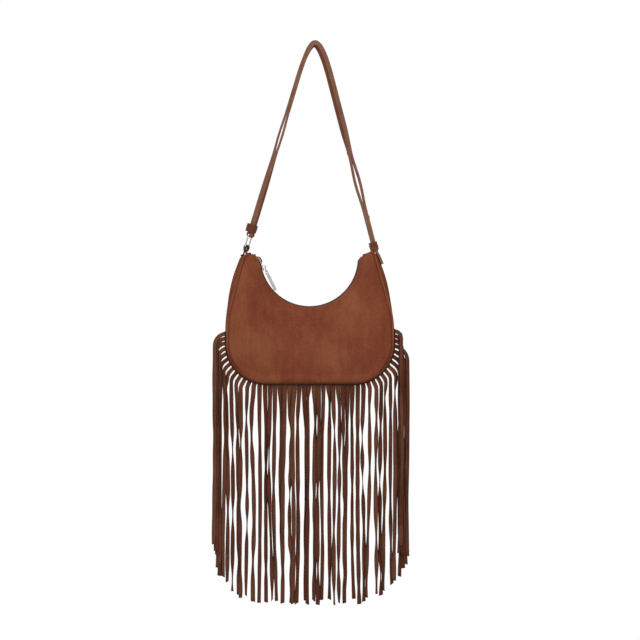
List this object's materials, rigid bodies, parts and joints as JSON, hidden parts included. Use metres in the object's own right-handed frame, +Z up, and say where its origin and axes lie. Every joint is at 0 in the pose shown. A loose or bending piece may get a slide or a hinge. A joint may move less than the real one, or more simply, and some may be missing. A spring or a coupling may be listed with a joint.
{
  "type": "fringed suede shoulder bag",
  "caption": "Crescent suede shoulder bag with a curved zip, a doubled strap on a ring and a keeper, and long cut fringe along its front seam.",
  "frame": {"origin": "the underside of the strap at its top, where the bag hangs on a hook, a rail or a shoulder", "axes": "+Z up along the hanging bag, the front and its fringe face -Y, +X to the right as seen from the front"},
  "size_m": [0.3129, 0.0734, 0.9008],
  "materials": {
    "panel_suede": "brushed suede, mid brown",
    "gusset_suede": "brushed suede, a shade darker",
    "fringe_suede": "cut suede strips, dark brown",
    "strap_suede": "suede with paler cut edges",
    "lining_cloth": "woven lining",
    "tape_cloth": "woven zip tape",
    "nickel": "polished nickel"
  },
  "bodies": {
    "bag": {"front_panel": "panel_suede", "back_panel": "panel_suede", "front_piping": "panel_suede", "back_piping": "panel_suede", "gusset": "gusset_suede", "lining": "lining_cloth", "fringe": "fringe_suede", "zip_chain_front": "nickel", "zip_chain_back": "nickel", "zip_tape_front": "tape_cloth", "zip_tape_back": "tape_cloth", "zip_stop_left": "nickel", "zip_stop_right": "nickel", "strap": "strap_suede", "strap_rivet_upper": "nickel", "strap_rivet_lower": "nickel", "right_keeper": "strap_suede", "ring_tab": "strap_suede"},
    "slider": {"zip_slider": "nickel"},
    "pull_ring": {"zip_pull_ring": "nickel"},
    "pull": {"zip_pull": "nickel"},
    "ring": {"strap_ring": "nickel", "left_keeper": "strap_suede"}
  },
  "joints": [
    {"name": "zip_travel", "type": "hinge", "parent": "bag", "child": "slider", "pos_m": [-0.0086, 0, -0.3405], "axis": [0, -1, 0], "range_deg": [0, 156]},
    {"name": "pull_ring_swing", "type": "hinge", "parent": "slider", "child": "pull_ring", "pos_m": [-0.08, 0, -0.35568], "axis": [0, -1, 0], "range_deg": [0, 110]},
    {"name": "pull_swing", "type": "hinge", "parent": "pull_ring", "child": "pull", "pos_m": [-0.07753, 0, -0.36329], "axis": [0, -1, 0], "range_deg": [0, 40]},
    {"name": "ring_swing", "type": "hinge", "parent": "bag", "child": "ring", "pos_m": [-0.10943, 0, -0.324], "axis": [0.3274, 0.9397, -0.099], "range_deg": [-20, 20], "deforming": ["strap"]}
  ]
}
